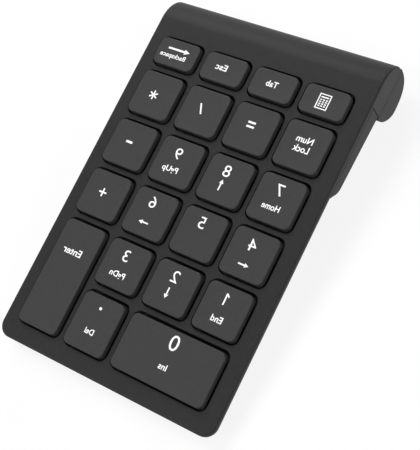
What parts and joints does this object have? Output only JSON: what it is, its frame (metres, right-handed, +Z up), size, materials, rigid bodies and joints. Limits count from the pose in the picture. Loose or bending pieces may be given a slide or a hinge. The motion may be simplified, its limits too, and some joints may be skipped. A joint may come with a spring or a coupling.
{
  "type": "numeric keypad",
  "caption": "Slim wireless numeric keypad with low flat keys, a battery tube along its rear edge that tilts it, and rubber feet.",
  "frame": {"origin": "centre of the overall box in plan, on the surface that the feet stand on", "axes": "+Z up; +Y from the user towards the battery tube; +X to the right as seen by the user; the deck leans 6.7 degrees towards the user"},
  "size_m": [0.085, 0.132, 0.0214],
  "materials": {
    "cover": "fine moulded texture, charcoal black",
    "keycap": "soft matte, charcoal black",
    "guide": "plain black moulding",
    "knob": "plain black moulding",
    "foot": "matte black rubber",
    "silicone": "translucent pale silicone",
    "film": "printed polyester film",
    "steel": "plain sheet steel",
    "spring_steel": "nickel-plated spring steel",
    "screw": "blackened steel",
    "board": "green solder resist",
    "chip": "black epoxy",
    "cell": "plain wrapped steel can"
  },
  "bodies": {
    "base": {"top_cover": "cover", "bottom_cover": "cover", "key_guide_plate": "guide", "rubber_dome_sheet": "silicone", "membrane_circuit": "film", "steel_base_plate": "steel", "aa_battery": "cell", "battery_spring_contact": "spring_steel", "battery_plate_contact": "spring_steel", "main_board": "board", "controller_chip": "chip", "crystal_can": "spring_steel", "power_switch_body": "spring_steel", "foot_front_left": "foot", "foot_front_right": "foot", "foot_rear_right": "foot", "case_screw_1": "screw", "case_screw_2": "screw", "case_screw_3": "screw", "case_screw_4": "screw", "case_screw_5": "screw", "case_screw_6": "screw"},
    "door": {"battery_door": "cover", "foot_rear_left": "foot"},
    "knob": {"power_switch_knob": "knob"},
    "bar_enter": {"stabilizer_bar_enter": "spring_steel"},
    "bar_0": {"stabilizer_bar_0": "spring_steel"},
    "key_backspace": {"key_backspace": "keycap"},
    "key_escape": {"key_escape": "keycap"},
    "key_tab": {"key_tab": "keycap"},
    "key_calculator": {"key_calculator": "keycap"},
    "key_multiply": {"key_multiply": "keycap"},
    "key_divide": {"key_divide": "keycap"},
    "key_equals": {"key_equals": "keycap"},
    "key_num_lock": {"key_num_lock": "keycap"},
    "key_minus": {"key_minus": "keycap"},
    "key_9": {"key_9": "keycap"},
    "key_8": {"key_8": "keycap"},
    "key_7": {"key_7": "keycap"},
    "key_plus": {"key_plus": "keycap"},
    "key_6": {"key_6": "keycap"},
    "key_5": {"key_5": "keycap"},
    "key_4": {"key_4": "keycap"},
    "key_3": {"key_3": "keycap"},
    "key_2": {"key_2": "keycap"},
    "key_1": {"key_1": "keycap"},
    "key_decimal": {"key_decimal": "keycap"},
    "key_enter": {"key_enter": "keycap"},
    "key_0": {"key_0": "keycap"}
  },
  "joints": [
    {"name": "key_backspace_press", "type": "slide", "parent": "base", "child": "key_backspace", "axis": [0, 0.1167, -0.9932], "range_m": [0, 0.002], "stiffness_N_per_m": 280, "springref_m": -0.0005, "deforming": ["rubber_dome_sheet"]},
    {"name": "key_escape_press", "type": "slide", "parent": "base", "child": "key_escape", "axis": [0, 0.1167, -0.9932], "range_m": [0, 0.002], "stiffness_N_per_m": 280, "springref_m": -0.0005, "deforming": ["rubber_dome_sheet"]},
    {"name": "key_tab_press", "type": "slide", "parent": "base", "child": "key_tab", "axis": [0, 0.1167, -0.9932], "range_m": [0, 0.002], "stiffness_N_per_m": 280, "springref_m": -0.0005, "deforming": ["rubber_dome_sheet"]},
    {"name": "key_calculator_press", "type": "slide", "parent": "base", "child": "key_calculator", "axis": [0, 0.1167, -0.9932], "range_m": [0, 0.002], "stiffness_N_per_m": 280, "springref_m": -0.0005, "deforming": ["rubber_dome_sheet"]},
    {"name": "key_multiply_press", "type": "slide", "parent": "base", "child": "key_multiply", "axis": [0, 0.1167, -0.9932], "range_m": [0, 0.002], "stiffness_N_per_m": 280, "springref_m": -0.0005, "deforming": ["rubber_dome_sheet"]},
    {"name": "key_divide_press", "type": "slide", "parent": "base", "child": "key_divide", "axis": [0, 0.1167, -0.9932], "range_m": [0, 0.002], "stiffness_N_per_m": 280, "springref_m": -0.0005, "deforming": ["rubber_dome_sheet"]},
    {"name": "key_equals_press", "type": "slide", "parent": "base", "child": "key_equals", "axis": [0, 0.1167, -0.9932], "range_m": [0, 0.002], "stiffness_N_per_m": 280, "springref_m": -0.0005, "deforming": ["rubber_dome_sheet"]},
    {"name": "key_num_lock_press", "type": "slide", "parent": "base", "child": "key_num_lock", "axis": [0, 0.1167, -0.9932], "range_m": [0, 0.002], "stiffness_N_per_m": 280, "springref_m": -0.0005, "deforming": ["rubber_dome_sheet"]},
    {"name": "key_minus_press", "type": "slide", "parent": "base", "child": "key_minus", "axis": [0, 0.1167, -0.9932], "range_m": [0, 0.002], "stiffness_N_per_m": 280, "springref_m": -0.0005, "deforming": ["rubber_dome_sheet"]},
    {"name": "key_9_press", "type": "slide", "parent": "base", "child": "key_9", "axis": [0, 0.1167, -0.9932], "range_m": [0, 0.002], "stiffness_N_per_m": 280, "springref_m": -0.0005, "deforming": ["rubber_dome_sheet"]},
    {"name": "key_8_press", "type": "slide", "parent": "base", "child": "key_8", "axis": [0, 0.1167, -0.9932], "range_m": [0, 0.002], "stiffness_N_per_m": 280, "springref_m": -0.0005, "deforming": ["rubber_dome_sheet"]},
    {"name": "key_7_press", "type": "slide", "parent": "base", "child": "key_7", "axis": [0, 0.1167, -0.9932], "range_m": [0, 0.002], "stiffness_N_per_m": 280, "springref_m": -0.0005, "deforming": ["rubber_dome_sheet"]},
    {"name": "key_plus_press", "type": "slide", "parent": "base", "child": "key_plus", "axis": [0, 0.1167, -0.9932], "range_m": [0, 0.002], "stiffness_N_per_m": 280, "springref_m": -0.0005, "deforming": ["rubber_dome_sheet"]},
    {"name": "key_6_press", "type": "slide", "parent": "base", "child": "key_6", "axis": [0, 0.1167, -0.9932], "range_m": [0, 0.002], "stiffness_N_per_m": 280, "springref_m": -0.0005, "deforming": ["rubber_dome_sheet"]},
    {"name": "key_5_press", "type": "slide", "parent": "base", "child": "key_5", "axis": [0, 0.1167, -0.9932], "range_m": [0, 0.002], "stiffness_N_per_m": 280, "springref_m": -0.0005, "deforming": ["rubber_dome_sheet"]},
    {"name": "key_4_press", "type": "slide", "parent": "base", "child": "key_4", "axis": [0, 0.1167, -0.9932], "range_m": [0, 0.002], "stiffness_N_per_m": 280, "springref_m": -0.0005, "deforming": ["rubber_dome_sheet"]},
    {"name": "key_3_press", "type": "slide", "parent": "base", "child": "key_3", "axis": [0, 0.1167, -0.9932], "range_m": [0, 0.002], "stiffness_N_per_m": 280, "springref_m": -0.0005, "deforming": ["rubber_dome_sheet"]},
    {"name": "key_2_press", "type": "slide", "parent": "base", "child": "key_2", "axis": [0, 0.1167, -0.9932], "range_m": [0, 0.002], "stiffness_N_per_m": 280, "springref_m": -0.0005, "deforming": ["rubber_dome_sheet"]},
    {"name": "key_1_press", "type": "slide", "parent": "base", "child": "key_1", "axis": [0, 0.1167, -0.9932], "range_m": [0, 0.002], "stiffness_N_per_m": 280, "springref_m": -0.0005, "deforming": ["rubber_dome_sheet"]},
    {"name": "key_decimal_press", "type": "slide", "parent": "base", "child": "key_decimal", "axis": [0, 0.1167, -0.9932], "range_m": [0, 0.002], "stiffness_N_per_m": 280, "springref_m": -0.0005, "deforming": ["rubber_dome_sheet"]},
    {"name": "key_enter_press", "type": "slide", "parent": "base", "child": "key_enter", "axis": [0, 0.1167, -0.9932], "range_m": [0, 0.002], "stiffness_N_per_m": 280, "springref_m": -0.0005, "deforming": ["rubber_dome_sheet"]},
    {"name": "key_0_press", "type": "slide", "parent": "base", "child": "key_0", "axis": [0, 0.1167, -0.9932], "range_m": [0, 0.002], "stiffness_N_per_m": 280, "springref_m": -0.0005, "deforming": ["rubber_dome_sheet"]},
    {"name": "stabilizer_bar_enter_turn", "type": "hinge", "parent": "base", "child": "bar_enter", "pos_m": [-0.0237, -0.04037, 0.00705], "axis": [0, -0.9932, -0.1167], "range_deg": [0, 16.6]},
    {"name": "stabilizer_bar_0_turn", "type": "hinge", "parent": "base", "child": "bar_0", "pos_m": [0.0186, -0.04469, 0.00654], "axis": [1, 0, 0], "range_deg": [0, 16.6]},
    {"name": "battery_door_slide", "type": "slide", "parent": "base", "child": "door", "axis": [-1, 0, 0], "range_m": [0, 0.062]},
    {"name": "power_switch_slide", "type": "slide", "parent": "base", "child": "knob", "axis": [1, 0, 0], "range_m": [0, 0.003]}
  ],
  "couplings": [
    {"joint": "stabilizer_bar_enter_turn", "follows": "key_enter_press", "rad_per_m": 143.35},
    {"joint": "stabilizer_bar_0_turn", "follows": "key_0_press", "rad_per_m": 143.35}
  ]
}
